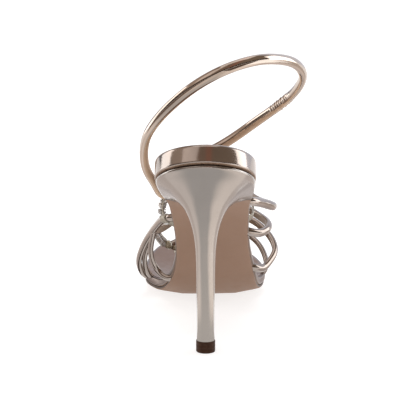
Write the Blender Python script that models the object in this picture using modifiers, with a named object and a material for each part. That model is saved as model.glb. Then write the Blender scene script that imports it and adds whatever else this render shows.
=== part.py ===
"""Strappy high-heeled sandal for the right foot, size EU 38, standing empty.

Tables and lengths are millimetres: across (lateral side positive), along (forward of the heel's back)
and height above the floor. Meshes are metres with +Y to the toe and +Z up.
"""

import math

import bmesh
import bpy
import numpy as np
from mathutils import Matrix

MM = 0.001

# Air left between pieces that meet.
GAP = 0.3

# Sole outline: the seat is a round of this radius, the toe an off-centre oval.
SEAT_RADIUS = 27.0
TOE_FROM = 165.0
TOE_TIP = 219.0
TOE_TIP_ACROSS = -8.0
TOE_FULLNESS_MEDIAL = 0.6
TOE_FULLNESS_LATERAL = 0.9
# Stations of the sole: even steps in the middle, steps of turn in degrees round the seat and the toe.
STATION_STEP = 5.5
SEAT_TURN_START = 4
SEAT_TURN_STEP = 9
TOE_TURN_STEP = 8
# The sole's slope is taken over this much of its length either way.
SLOPE_REACH = 1.0

# Columns of SOLE: medial and lateral edge, height of the seam under the footbed,
# height of the footbed wall, and the share of the crown that lifts the edges above the middle.
ALONG, MEDIAL, LATERAL, SEAM, WALL, CROWN = range(6)
SOLE = (
    (0.0, -27.4, 27.2, 105.8, 10.4, 0.0),
    (27.0, -27.4, 27.2, 92.4, 10.3, 0.0),
    (40.0, -26.0, 27.2, 85.8, 9.4, 0.0),
    (52.0, -23.6, 26.4, 79.6, 8.8, 0.0),
    (63.0, -21.6, 25.4, 73.1, 8.1, 0.0),
    (71.0, -20.4, 25.0, 66.4, 7.4, 0.05),
    (84.0, -18.7, 25.2, 53.2, 6.8, 0.15),
    (92.0, -18.1, 25.8, 44.3, 6.4, 0.25),
    (100.0, -18.2, 27.0, 35.3, 6.1, 0.38),
    (109.0, -19.6, 29.0, 25.2, 5.9, 0.52),
    (118.0, -22.4, 31.0, 15.7, 5.6, 0.67),
    (125.0, -25.6, 32.3, 9.7, 5.4, 0.80),
    (131.0, -28.4, 33.6, 5.7, 5.3, 0.90),
    (136.0, -31.2, 34.8, 3.5, 5.2, 0.96),
    (140.0, -33.7, 35.8, 2.6, 5.2, 1.0),
    (145.0, -36.8, 37.0, 2.12, 5.1, 1.0),
    (150.0, -39.0, 37.8, 2.05, 5.0, 1.0),
    (157.0, -40.0, 38.2, 2.05, 5.0, 1.0),
    (165.0, -40.0, 38.0, 2.05, 5.0, 1.0),
    (178.0, -40.0, 38.0, 3.5, 5.0, 0.96),
    (190.0, -40.0, 38.0, 6.3, 4.9, 0.90),
    (203.0, -40.0, 38.0, 9.8, 4.8, 0.78),
    (219.0, -40.0, 38.0, 14.0, 4.8, 0.60),
)
# The crown: flat this far either side of the middle line, then a power law to the full rise at the reach.
CROWN_FLAT = 12.5
CROWN_REACH = 38.0
CROWN_RISE = 5.0
CROWN_POWER = 1.6
CROWN_SHARES = (-0.68, -0.3, 0.3, 0.68)
# Edge rounding: the most it may take of a layer's half width and height, and where its middle point sits.
ROUND_OF_HALF = 0.3
ROUND_OF_HEIGHT = 0.45
ROUND_MIDDLE = 0.3
FOOTBED_ROUND = 1.9
OUTSOLE_FROM = 54.0
OUTSOLE_THICK = 1.75
OUTSOLE_INSET = 0.8
OUTSOLE_ROUND = 0.5

# Columns of HEEL: share of the heel's height, back line, breast line, half width, squareness.
SHARE, BACK, BREAST, HALF, SQUARE = range(5)
HEEL = (
    (0.00, 12.0, 22.0, 4.9, 0.00),
    (0.06, 12.2, 21.6, 4.65, 0.00),
    (0.18, 12.2, 21.7, 4.75, 0.00),
    (0.30, 12.0, 22.0, 4.95, 0.00),
    (0.42, 11.6, 22.3, 5.05, 0.00),
    (0.54, 11.0, 22.8, 5.3, 0.05),
    (0.61, 10.4, 23.4, 5.8, 0.08),
    (0.67, 9.8, 24.0, 6.6, 0.15),
    (0.72, 9.1, 25.0, 7.7, 0.24),
    (0.76, 8.4, 26.2, 8.9, 0.34),
    (0.80, 7.7, 28.0, 10.3, 0.45),
    (0.84, 6.9, 30.8, 12.2, 0.56),
    (0.88, 5.9, 34.4, 14.9, 0.68),
    (0.92, 4.8, 38.8, 18.0, 0.80),
    (0.96, 3.4, 45.0, 21.9, 0.92),
    (1.00, 2.0, 52.0, 25.0, 1.00),
)
HEEL_INSET = 2.0
HEEL_CORNER = 0.78
HEEL_HALF_POINTS = 14
TOP_PIECE_HEIGHT = 6.5
TOP_PIECE_HALF = 5.2
TOP_PIECE_BACK = 11.8
TOP_PIECE_FRONT = 22.2
TOP_PIECE_BEVEL = 0.4
TOP_PIECE_SIDES = 28

# A strap's section as shares of width and thickness: flat toward the foot, domed outward.
STRAP_SECTION = (
    (-0.40, -0.50),
    (0.40, -0.50),
    (0.50, -0.28),
    (0.48, 0.08),
    (0.34, 0.36),
    (0.00, 0.50),
    (-0.34, 0.36),
    (-0.48, 0.08),
    (-0.50, -0.28),
)
STRAP_STEP = 4.0

# Straps face outward from an axis inside the foot, this far above the footbed's seam.
FOOT_AXIS_LIFT = 20.0
FOOT_AXIS_STEP = 2.0
LEG_AXIS_ACROSS = 8.0
LEG_AXIS_ALONG = 46.0

# Each strap: name, width, thickness, then its middle line in rows of across, along and height.
ANKLE_STRAP = ("ankle_strap", 5.8, 4.8, (
    (-15.0, 57.8, 79.6),
    (-23.9, 57.0, 79.6),
    (-28.0, 50.4, 86.0),
    (-32.4, 43.2, 95.4),
    (-33.6, 38.0, 105.4),
    (-31.6, 31.6, 115.2),
    (-26.2, 24.4, 124.4),
    (-14.8, 15.0, 136.6),
    (-5.6, 10.0, 144.1),
    (13.6, 8.0, 154.2),
    (25.2, 12.0, 157.2),
    (38.0, 24.0, 157.0),
    (48.4, 38.0, 153.4),
    (53.0, 49.6, 146.8),
    (51.0, 62.0, 138.2),
    (44.4, 74.0, 129.7),
    (27.2, 89.0, 114.9),
    (7.1, 93.4, 100.9),
    (-8.0, 88.6, 93.8),
    (-17.0, 80.5, 88.0),
    (-22.4, 71.6, 82.0),
    (-21.6, 66.4, 77.8),
    (-13.6, 65.0, 76.6),
))
VAMP_STRAPS = (
    ("medial_rail", 4.6, 3.4, (
        (-12.0, 80.0, 62.6),
        (-21.0, 80.6, 61.0),
        (-24.6, 87.0, 59.4),
        (-28.2, 96.0, 55.2),
        (-33.0, 109.0, 47.1),
        (-37.2, 119.0, 39.1),
        (-40.2, 127.0, 31.6),
        (-42.3, 136.0, 22.6),
        (-41.2, 144.0, 14.4),
        (-38.2, 149.0, 9.8),
        (-30.0, 151.0, 7.4),
    )),
    ("instep_strap", 5.4, 3.8, (
        (17.0, 63.6, 75.2),
        (25.8, 64.5, 73.6),
        (32.3, 72.0, 71.5),
        (39.6, 84.0, 67.4),
        (38.0, 93.0, 66.8),
        (31.6, 100.0, 68.0),
        (26.0, 104.4, 71.4),
        (19.6, 107.0, 80.4),
        (9.0, 108.0, 89.4),
        (-4.0, 106.4, 92.0),
        (-12.8, 101.6, 86.4),
        (-17.0, 94.6, 77.8),
        (-17.6, 87.6, 70.2),
        (-15.6, 82.8, 65.4),
        (-9.0, 80.2, 62.6),
    )),
    ("instep_crystal_band", 8.0, 2.8, (
        (16.0, 82.4, 60.6),
        (25.0, 84.2, 60.0),
        (28.0, 93.0, 63.4),
        (25.6, 103.4, 72.0),
        (18.6, 111.0, 80.0),
        (4.0, 115.0, 85.0),
        (-10.0, 112.6, 81.6),
        (-20.0, 105.4, 74.6),
        (-25.0, 98.0, 68.0),
        (-25.6, 92.0, 61.4),
        (-21.6, 87.6, 57.0),
        (-12.0, 85.6, 56.0),
    )),
    ("waist_strap", 5.2, 3.4, (
        (16.0, 88.4, 54.0),
        (25.8, 88.8, 51.0),
        (32.5, 93.0, 49.4),
        (38.0, 101.5, 51.5),
        (35.6, 112.0, 54.2),
        (28.4, 123.5, 57.2),
        (18.0, 129.0, 63.2),
        (4.0, 131.0, 67.0),
        (-8.0, 129.4, 63.0),
        (-16.4, 126.0, 55.4),
        (-21.5, 122.6, 50.6),
        (-25.6, 118.0, 48.6),
        (-29.0, 113.4, 47.8),
        (-32.4, 107.4, 48.4),
    )),
    ("ball_strap", 5.0, 3.6, (
        (20.0, 113.4, 25.0),
        (30.0, 112.6, 23.6),
        (34.8, 117.0, 22.2),
        (39.8, 124.0, 25.3),
        (43.2, 131.0, 30.4),
        (42.0, 137.0, 35.6),
        (38.2, 142.0, 40.4),
        (29.6, 147.6, 46.6),
        (19.0, 151.4, 49.0),
        (6.0, 153.6, 46.8),
        (-7.0, 154.0, 40.0),
        (-16.5, 152.6, 33.2),
        (-23.0, 151.0, 30.0),
    )),
    ("toe_strap", 4.8, 3.2, (
        (29.0, 150.4, 7.6),
        (36.0, 151.4, 10.4),
        (38.8, 153.6, 15.0),
        (38.5, 158.0, 20.0),
        (36.2, 162.0, 25.0),
        (31.9, 166.0, 29.8),
        (21.0, 170.0, 34.6),
        (8.0, 172.6, 35.0),
        (-5.0, 173.6, 30.4),
        (-13.0, 173.6, 24.4),
        (-17.6, 172.6, 21.0),
    )),
    ("medial_rail_inner", 3.8, 3.2, (
        (-30.4, 103.0, 51.2),
        (-33.0, 113.0, 44.4),
        (-35.4, 121.0, 37.6),
        (-37.7, 128.0, 30.2),
        (-38.6, 135.0, 22.1),
        (-37.4, 141.0, 14.8),
        (-34.6, 145.0, 10.2),
        (-26.0, 147.0, 7.0),
    )),
    ("medial_stay", 4.8, 3.4, (
        (-32.0, 106.6, 48.6),
        (-33.4, 115.0, 40.6),
        (-34.3, 121.0, 33.0),
        (-33.0, 124.0, 25.0),
        (-29.6, 124.0, 18.8),
        (-24.0, 120.8, 15.2),
        (-13.0, 117.6, 20.2),
    )),
    ("toe_crystal_band", 7.2, 2.6, (
        (-32.0, 107.6, 48.4),
        (-31.0, 115.6, 45.6),
        (-28.6, 130.0, 38.4),
        (-26.0, 143.0, 32.6),
        (-22.4, 156.0, 28.2),
        (-18.6, 168.0, 23.6),
        (-14.6, 180.0, 16.4),
        (-12.0, 187.0, 7.0),
    )),
)

# Materials: base colour, metallic share and roughness.
METAL_LOOK = ((0.80, 0.70, 0.62), 1.0, 0.18)
OUTSOLE_LOOK = ((0.30, 0.20, 0.14), 0.0, 0.55)
TIP_LOOK = ((0.06, 0.035, 0.025), 0.0, 0.5)


def clear_scene():
    for thing in list(bpy.data.objects):
        bpy.data.objects.remove(thing, do_unlink=True)


def make_collection(name):
    collection = bpy.data.collections.new(name)
    bpy.context.scene.collection.children.link(collection)
    return collection


def make_material(name, look):
    colour, metallic, roughness = look
    material = bpy.data.materials.new(name)
    material.use_nodes = True
    shader = material.node_tree.nodes["Principled BSDF"]
    shader.inputs["Base Color"].default_value = (*colour, 1.0)
    shader.inputs["Metallic"].default_value = metallic
    shader.inputs["Roughness"].default_value = roughness
    return material


def read(table, column, at):
    """Read one column between rows with a cubic that never overshoots the rows."""
    rows = np.array(table)
    places = rows[:, 0]
    values = rows[:, column]
    gaps = np.diff(places)
    rises = np.diff(values) / gaps
    slopes = np.zeros(len(places))
    slopes[0] = rises[0]
    slopes[-1] = rises[-1]
    for row in range(1, len(places) - 1):
        before, after = rises[row - 1], rises[row]
        if before * after > 0.0:
            slopes[row] = 2.0 * before * after / (before + after)
    at = min(max(at, places[0]), places[-1])
    row = min(int(np.searchsorted(places, at, side="right")) - 1, len(gaps) - 1)
    share = (at - places[row]) / gaps[row]
    rest = 1.0 - share
    start = values[row] + share * (slopes[row] * gaps[row] + 2.0 * values[row])
    finish = values[row + 1] + rest * (2.0 * values[row + 1] - slopes[row + 1] * gaps[row])
    return start * rest * rest + finish * share * share


def sole_edges(along, inset=0.0):
    """Medial and lateral edge of the sole's outline at one station."""
    if along < SEAT_RADIUS:
        depth = max(along - inset, 0.0)
        reach = SEAT_RADIUS - inset
        share = math.sqrt(max(depth * (2.0 * reach - depth), 0.0)) / reach
        medial = (read(SOLE, MEDIAL, along) + inset) * share
        lateral = (read(SOLE, LATERAL, along) - inset) * share
    elif along > TOE_FROM:
        gone = (along - TOE_FROM) / (TOE_TIP - inset - TOE_FROM)
        share = math.sqrt(max(1.0 - gone * gone, 0.0))
        wide_medial = read(SOLE, MEDIAL, TOE_FROM) + inset - TOE_TIP_ACROSS
        wide_lateral = read(SOLE, LATERAL, TOE_FROM) - inset - TOE_TIP_ACROSS
        medial = TOE_TIP_ACROSS + wide_medial * share ** TOE_FULLNESS_MEDIAL
        lateral = TOE_TIP_ACROSS + wide_lateral * share ** TOE_FULLNESS_LATERAL
    else:
        medial = read(SOLE, MEDIAL, along) + inset
        lateral = read(SOLE, LATERAL, along) - inset
    return medial, lateral


def spine(along):
    """Height of the seam under the footbed, and the direction square to it in along and height."""
    ahead = min(along + SLOPE_REACH, TOE_TIP)
    behind = max(along - SLOPE_REACH, 0.0)
    fall = (read(SOLE, SEAM, ahead) - read(SOLE, SEAM, behind)) / (ahead - behind)
    length = math.hypot(1.0, fall)
    return read(SOLE, SEAM, along), (-fall / length, 1.0 / length)


def sole_point(across, along, lift):
    """A point lifted off the seam, square to the sole."""
    height, square = spine(along)
    return across, along + lift * square[0], height + lift * square[1]


def stations(start, finish):
    """Stations along the sole, closer together round the seat and the toe."""
    seat_turns = range(SEAT_TURN_START, 90, SEAT_TURN_STEP)
    seat = [SEAT_RADIUS * (1.0 - math.cos(math.radians(turn))) for turn in seat_turns]
    middle = list(np.arange(SEAT_RADIUS, TOE_FROM, STATION_STEP))
    toe_turns = range(0, 90, TOE_TURN_STEP)
    toe = [TOE_FROM + (finish - TOE_FROM) * math.sin(math.radians(turn)) for turn in toe_turns]
    return [at for at in seat + middle + toe if start <= at < finish]


def crown_rise(along, across):
    """Rise of the sole above its middle line."""
    over = max(abs(across) - CROWN_FLAT, 0.0) / (CROWN_REACH - CROWN_FLAT)
    return CROWN_RISE * read(SOLE, CROWN, along) * over ** CROWN_POWER


def slab_section(along, low, high, inset, rounding):
    """Ring of a sole layer at one station, its long edges rounded and lifted by the crown."""
    medial, lateral = sole_edges(along, inset)
    middle, half = 0.5 * (medial + lateral), 0.5 * (lateral - medial)
    small = min(rounding, ROUND_OF_HALF * half, ROUND_OF_HEIGHT * (high - low))
    chamfer = ROUND_MIDDLE * small
    across = [middle + share * half for share in CROWN_SHARES]
    ring = [(medial + small, low)] + [(spot, low) for spot in across]
    ring += [
        (lateral - small, low), (lateral - chamfer, low + chamfer), (lateral, low + small),
        (lateral, high - small), (lateral - chamfer, high - chamfer), (lateral - small, high),
    ]
    ring += [(spot, high) for spot in reversed(across)]
    ring += [
        (medial + small, high), (medial + chamfer, high - chamfer), (medial, high - small),
        (medial, low + small), (medial + chamfer, low + chamfer),
    ]
    return [sole_point(spot, along, lift + crown_rise(along, spot)) for spot, lift in ring]


def loft(name, rings, material, collection):
    """One closed body through rings of equal count, with a face over each end."""
    mesh = bpy.data.meshes.new(name)
    bm = bmesh.new()
    loops = [[bm.verts.new([MM * value for value in point]) for point in ring] for ring in rings]
    count = len(loops[0])
    for near, far in zip(loops, loops[1:]):
        for spot in range(count):
            after = (spot + 1) % count
            bm.faces.new((near[spot], near[after], far[after], far[spot]))
    bm.faces.new(loops[0])
    bm.faces.new(loops[-1])
    bmesh.ops.recalc_face_normals(bm, faces=bm.faces)
    for face in bm.faces:
        face.smooth = len(face.verts) == 4
    bm.to_mesh(mesh)
    bm.free()
    mesh.materials.append(material)
    body = bpy.data.objects.new(name, mesh)
    collection.objects.link(body)
    return body


def sole_layer(name, start, finish, low, high, inset, rounding, material, collection):
    """A layer of the sole; low and high give its lift off the seam at a station."""
    rings = [slab_section(at, low(at), high(at), inset, rounding) for at in stations(start, finish)]
    return loft(name, rings, material, collection)


def wall_height(along):
    return read(SOLE, WALL, along)


def heel_outline(side):
    """One side of the heel's top outline, back to breast, as shares of its half width and length."""
    top = HEEL[-1]
    length = top[BREAST] - top[BACK]
    rows = []
    for spot in range(HEEL_HALF_POINTS):
        turn = spot / (HEEL_HALF_POINTS - 1)
        if turn <= HEEL_CORNER:
            forward = 0.5 - 0.5 * math.cos(math.pi * turn / HEEL_CORNER)
            medial, lateral = sole_edges(top[BACK] + forward * length, HEEL_INSET)
            wide = (lateral if side > 0 else -medial) / top[HALF]
        else:
            forward = 1.0
            medial, lateral = sole_edges(top[BREAST], HEEL_INSET)
            wide = (lateral if side > 0 else -medial) / top[HALF] * (1.0 - turn) / (1.0 - HEEL_CORNER)
        rows.append((wide, forward))
    return rows


def heel_ring(share):
    """Ring of the heel: an oval low on the stem that opens into the seat's outline at the top."""
    back, breast = read(HEEL, BACK, share), read(HEEL, BREAST, share)
    half, square = read(HEEL, HALF, share), read(HEEL, SQUARE, share)
    base = TOP_PIECE_HEIGHT + GAP
    ring = []
    for side in (1, -1):
        half_ring = []
        for spot, (wide, forward) in enumerate(heel_outline(side)):
            turn = math.pi * spot / (HEEL_HALF_POINTS - 1)
            across = side * half * (square * wide + (1.0 - square) * math.sin(turn))
            reach = square * forward + (1.0 - square) * (0.5 - 0.5 * math.cos(turn))
            along = back + (breast - back) * reach
            top = read(SOLE, SEAM, along) - GAP / spine(along)[1][1]
            half_ring.append((across, along, base + (top - base) * share))
        ring += half_ring[:-1] if side > 0 else half_ring[:0:-1]
    return ring


def make_heel(material, collection):
    return loft("heel", [heel_ring(row[SHARE]) for row in HEEL], material, collection)


def make_top_piece(material, collection):
    """The small replaceable piece under the stem: a cylinder with its edges bevelled."""
    half_length = 0.5 * (TOP_PIECE_FRONT - TOP_PIECE_BACK)
    mesh = bpy.data.meshes.new("top_piece")
    bm = bmesh.new()
    bmesh.ops.create_cone(bm, cap_ends=True, segments=TOP_PIECE_SIDES, radius1=1.0, radius2=1.0, depth=1.0)
    size = Matrix.Diagonal((TOP_PIECE_HALF * MM, half_length * MM, TOP_PIECE_HEIGHT * MM, 1.0))
    middle = (0.0, (TOP_PIECE_BACK + half_length) * MM, 0.5 * TOP_PIECE_HEIGHT * MM)
    bmesh.ops.transform(bm, matrix=Matrix.Translation(middle) @ size, verts=bm.verts)
    for face in bm.faces:
        face.smooth = len(face.verts) == 4
    bm.to_mesh(mesh)
    bm.free()
    mesh.materials.append(material)
    body = bpy.data.objects.new("top_piece", mesh)
    collection.objects.link(body)
    edge = body.modifiers.new("rim", "BEVEL")
    edge.width = TOP_PIECE_BEVEL * MM
    edge.segments = 1
    edge.limit_method = "ANGLE"
    return body


def smooth_line(rows, step):
    """Points at even steps on a cubic through the rows."""
    knots = np.array(rows)
    count = len(knots)
    gaps = np.linalg.norm(np.diff(knots, axis=0), axis=1)
    system = np.eye(count)
    target = np.zeros_like(knots)
    for row in range(1, count - 1):
        before, after = gaps[row - 1], gaps[row]
        system[row, row - 1:row + 2] = before, 2.0 * (before + after), after
        target[row] = 6.0 * ((knots[row + 1] - knots[row]) / after - (knots[row] - knots[row - 1]) / before)
    bend = np.linalg.solve(system, target)
    points = [knots[0]]
    for row, gap in enumerate(gaps):
        parts = max(int(round(gap / step)), 1)
        for part in range(1, parts + 1):
            far = part / parts
            near = 1.0 - far
            point = near * knots[row] + far * knots[row + 1]
            point = point + (near ** 3 - near) * gap * gap / 6.0 * bend[row]
            point = point + (far ** 3 - far) * gap * gap / 6.0 * bend[row + 1]
            points.append(point)
    return np.array(points)


def from_foot(point):
    """Outward direction from the middle of the foot, square to the sole below the point."""
    best = None
    for along in np.arange(0.0, TOE_TIP, FOOT_AXIS_STEP):
        height, square = spine(along)
        off = math.hypot(point[1] - along, point[2] - height)
        if best is None or off < best[0]:
            axis = (0.0, along + FOOT_AXIS_LIFT * square[0], height + FOOT_AXIS_LIFT * square[1])
            best = (off, axis)
    return point - np.array(best[1])


def from_leg(point):
    """Outward direction from the middle of the ankle."""
    return point - np.array((LEG_AXIS_ACROSS, LEG_AXIS_ALONG, point[2]))


def make_strap(strap, outward, material, collection):
    """A strap swept along its middle line with its flat face kept toward the foot."""
    name, width, thick, rows = strap
    points = smooth_line(rows, STRAP_STEP)
    heading = np.gradient(points, axis=0)
    rings = []
    for point, ahead in zip(points, heading):
        ahead = ahead / np.linalg.norm(ahead)
        away = outward(point)
        away = away - ahead * np.dot(away, ahead)
        away = away / np.linalg.norm(away)
        beside = np.cross(ahead, away)
        rings.append([point + beside * wide * width + away * deep * thick for wide, deep in STRAP_SECTION])
    return loft(name, rings, material, collection)


def add_boolean(body, operation, other):
    cut = body.modifiers.new(other.name, "BOOLEAN")
    cut.operation = operation
    cut.solver = "EXACT"
    cut.object = other


def hide_cutter(cutter):
    cutter.hide_render = True
    cutter.display_type = "WIRE"


def stand_on_origin(collections, parts):
    """Move every mesh so that the shoe's box stands on the floor, centred on the origin."""
    depsgraph = bpy.context.evaluated_depsgraph_get()
    corners = []
    for body in parts.objects:
        corners += [tuple(corner) for corner in body.evaluated_get(depsgraph).bound_box]
    corners = np.array(corners)
    low, high = corners.min(axis=0), corners.max(axis=0)
    shift = Matrix.Translation((-0.5 * (low[0] + high[0]), -0.5 * (low[1] + high[1]), -low[2]))
    for collection in collections:
        for body in collection.objects:
            body.data.transform(shift)


def main():
    clear_scene()
    parts = make_collection("strappy_sandal")
    cutters = make_collection("cutters")
    metal = make_material("champagne_metallic", METAL_LOOK)
    outsole_brown = make_material("outsole_tan", OUTSOLE_LOOK)
    tip_brown = make_material("top_piece_brown", TIP_LOOK)

    sole_layer("footbed", 0.0, TOE_TIP, lambda at: 0.0, wall_height, 0.0, FOOTBED_ROUND, metal, parts)
    sole_layer(
        "outsole", OUTSOLE_FROM, TOE_TIP - OUTSOLE_INSET, lambda at: -GAP - OUTSOLE_THICK, lambda at: -GAP,
        OUTSOLE_INSET, OUTSOLE_ROUND, outsole_brown, parts,
    )
    make_heel(metal, parts)
    make_top_piece(tip_brown, parts)

    clearance = sole_layer(
        "sole_clearance", 0.0, TOE_TIP + GAP, lambda at: -2.0 * GAP - OUTSOLE_THICK,
        lambda at: wall_height(at) + GAP, -GAP, GAP, metal, cutters,
    )
    hide_cutter(clearance)

    ankle = make_strap(ANKLE_STRAP, from_leg, metal, parts)
    add_boolean(ankle, "DIFFERENCE", clearance)

    upper = make_strap(VAMP_STRAPS[0], from_foot, metal, parts)
    upper.name = "upper_straps"
    for strap in VAMP_STRAPS[1:]:
        other = make_strap(strap, from_foot, metal, cutters)
        hide_cutter(other)
        add_boolean(upper, "UNION", other)
    add_boolean(upper, "DIFFERENCE", clearance)

    bpy.context.view_layer.update()
    stand_on_origin((parts, cutters), parts)


main()
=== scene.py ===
# %% [markdown]
# # A strappy evening sandal
# A right shoe stands empty on its heel tip and forefoot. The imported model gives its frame: a wrapped
# footbed, a thin outsole, a slim heel with a small top piece, the vamp straps and the ankle strap.
# This lesson dresses that frame in mirror-bright champagne leather, one piece at a time.

# %% Load the frame
import math

import bmesh
import bpy
import numpy as np
from mathutils import Matrix, Vector


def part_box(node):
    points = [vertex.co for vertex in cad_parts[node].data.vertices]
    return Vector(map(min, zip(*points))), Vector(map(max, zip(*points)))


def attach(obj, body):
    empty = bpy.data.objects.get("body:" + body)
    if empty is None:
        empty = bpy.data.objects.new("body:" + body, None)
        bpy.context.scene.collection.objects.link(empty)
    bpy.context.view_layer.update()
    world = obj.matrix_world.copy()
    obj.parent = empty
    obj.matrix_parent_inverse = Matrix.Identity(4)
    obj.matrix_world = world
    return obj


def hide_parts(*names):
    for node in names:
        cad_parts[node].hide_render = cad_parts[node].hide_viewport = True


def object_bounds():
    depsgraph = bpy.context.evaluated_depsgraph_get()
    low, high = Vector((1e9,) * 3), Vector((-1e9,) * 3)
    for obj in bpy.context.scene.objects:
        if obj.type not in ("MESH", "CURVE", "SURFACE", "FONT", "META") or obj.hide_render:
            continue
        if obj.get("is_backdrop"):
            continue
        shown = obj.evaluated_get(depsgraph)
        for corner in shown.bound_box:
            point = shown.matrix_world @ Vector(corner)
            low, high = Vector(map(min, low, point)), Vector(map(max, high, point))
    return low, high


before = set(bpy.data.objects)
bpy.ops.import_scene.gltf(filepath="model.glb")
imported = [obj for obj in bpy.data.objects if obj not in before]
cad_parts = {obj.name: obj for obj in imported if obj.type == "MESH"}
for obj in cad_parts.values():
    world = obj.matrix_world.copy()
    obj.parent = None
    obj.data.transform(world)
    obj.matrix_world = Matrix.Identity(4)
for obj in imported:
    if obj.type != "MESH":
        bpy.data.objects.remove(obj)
CAD_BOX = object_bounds()
print("nodes:", sorted(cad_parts))

# %% [markdown]
# ## The shoemaker's own measure
# A sole is drawn from the back of the heel forward. All tables below are millimetres: across (outer side
# positive), along (forward of the heel's back) and height. The top piece is round and sits on the middle
# line, so its box tells where that line and the heel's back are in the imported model.

# %% From shoe millimetres to the model's metres
TOP_PIECE_BACK = 11.8
tip_low, tip_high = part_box("top_piece")
MIDDLE_X = 0.5 * (tip_low.x + tip_high.x)
BACK_Y = tip_low.y - TOP_PIECE_BACK * 0.001


def to_model(points):
    """Shoe millimetres to model metres, for one point or a row of them."""
    return np.asarray(points, float) * 0.001 + np.array((MIDDLE_X, BACK_Y, 0.0))


print("middle line at x =", round(MIDDLE_X, 5), "and heel back at y =", round(BACK_Y, 5))

# %% [markdown]
# ## Reading a table
# A last has no kinks, so a table with a row per section is read with a cubic that passes through every
# row and never swings past it. A plain spline would bulge between rows, and straight lines would show
# as bands in a mirror finish.


# %% A cubic that keeps the shape of its rows
def read(table, column, at):
    rows = np.array(table)
    places, values = rows[:, 0], rows[:, column]
    gaps = np.diff(places)
    rises = np.diff(values) / gaps
    slopes = np.zeros(len(places))
    slopes[0], slopes[-1] = rises[0], rises[-1]
    for row in range(1, len(places) - 1):
        before, after = rises[row - 1], rises[row]
        if before * after > 0.0:
            slopes[row] = 2.0 * before * after / (before + after)
    at = min(max(at, places[0]), places[-1])
    row = min(int(np.searchsorted(places, at, side="right")) - 1, len(gaps) - 1)
    share = (at - places[row]) / gaps[row]
    rest = 1.0 - share
    start = values[row] + share * (slopes[row] * gaps[row] + 2.0 * values[row])
    finish = values[row + 1] + rest * (2.0 * values[row + 1] - slopes[row + 1] * gaps[row])
    return start * rest * rest + finish * share * share


# %% [markdown]
# ## The form of the last
# The sole's form is set by a few columns: where its two edges run, how high the seam under the footbed
# is, how tall the footbed's wall stands, and how much the tread's crown lifts its edges. The seat is a
# half round and the toe an off-centre oval, so those two ends come from formulas.

# %% Table of the sole
ALONG, MEDIAL, LATERAL, SEAM, WALL, CROWN = range(6)
SOLE = (
    (0, -27.4, 27.2, 105.8, 10.4, 0), (27, -27.4, 27.2, 92.4, 10.3, 0), (40, -26, 27.2, 85.8, 9.4, 0),
    (52, -23.6, 26.4, 79.6, 8.8, 0), (63, -21.6, 25.4, 73.1, 8.1, 0), (71, -20.4, 25, 66.4, 7.4, 0.05),
    (84, -18.7, 25.2, 53.2, 6.8, 0.15), (92, -18.1, 25.8, 44.3, 6.4, 0.25),
    (100, -18.2, 27, 35.3, 6.1, 0.38), (109, -19.6, 29, 25.2, 5.9, 0.52), (118, -22.4, 31, 15.7, 5.6, 0.67),
    (125, -25.6, 32.3, 9.7, 5.4, 0.8), (131, -28.4, 33.6, 5.7, 5.3, 0.9),
    (136, -31.2, 34.8, 3.5, 5.2, 0.96), (140, -33.7, 35.8, 2.6, 5.2, 1), (145, -36.8, 37, 2.12, 5.1, 1),
    (150, -39, 37.8, 2.05, 5, 1), (157, -40, 38.2, 2.05, 5, 1), (165, -40, 38, 2.05, 5, 1),
    (178, -40, 38, 3.5, 5, 0.96), (190, -40, 38, 6.3, 4.9, 0.9), (203, -40, 38, 9.8, 4.8, 0.78),
    (219, -40, 38, 14, 4.8, 0.6),
)
SEAT_RADIUS, TOE_FROM, TOE_TIP, TOE_TIP_ACROSS = 27.0, 165.0, 219.0, -8.0
TOE_FULLNESS = {-1: 0.6, 1: 0.9}
CROWN_FLAT, CROWN_REACH, CROWN_RISE, CROWN_POWER = 12.5, 38.0, 5.0, 1.6


# %% Edges, slope and points of the sole
def sole_edge(along, side):
    column = LATERAL if side > 0 else MEDIAL
    if along < SEAT_RADIUS:
        share = math.sqrt(max(along * (2.0 * SEAT_RADIUS - along), 0.0)) / SEAT_RADIUS
        return read(SOLE, column, along) * share
    if along > TOE_FROM:
        gone = (along - TOE_FROM) / (TOE_TIP - TOE_FROM)
        share = math.sqrt(max(1.0 - gone * gone, 0.0)) ** TOE_FULLNESS[side]
        return TOE_TIP_ACROSS + (read(SOLE, column, TOE_FROM) - TOE_TIP_ACROSS) * share
    return read(SOLE, column, along)


def spine(along):
    ahead, behind = min(along + 1.0, TOE_TIP), max(along - 1.0, 0.0)
    fall = (read(SOLE, SEAM, ahead) - read(SOLE, SEAM, behind)) / (ahead - behind)
    length = math.hypot(1.0, fall)
    return read(SOLE, SEAM, along), (-fall / length, 1.0 / length)


def sole_point(across, along, lift):
    """A point lifted off the seam, square to the sole, on top of the crown."""
    over = max(abs(across) - CROWN_FLAT, 0.0) / (CROWN_REACH - CROWN_FLAT)
    lift = lift + CROWN_RISE * read(SOLE, CROWN, along) * over ** CROWN_POWER
    height, square = spine(along)
    return across, along + lift * square[0], height + lift * square[1]


# %% Outline of a sole layer, walked once round
OUTLINE_STEP, CORE_MARGIN, CORE_END = 2.5, 6.0, 184.0


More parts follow.
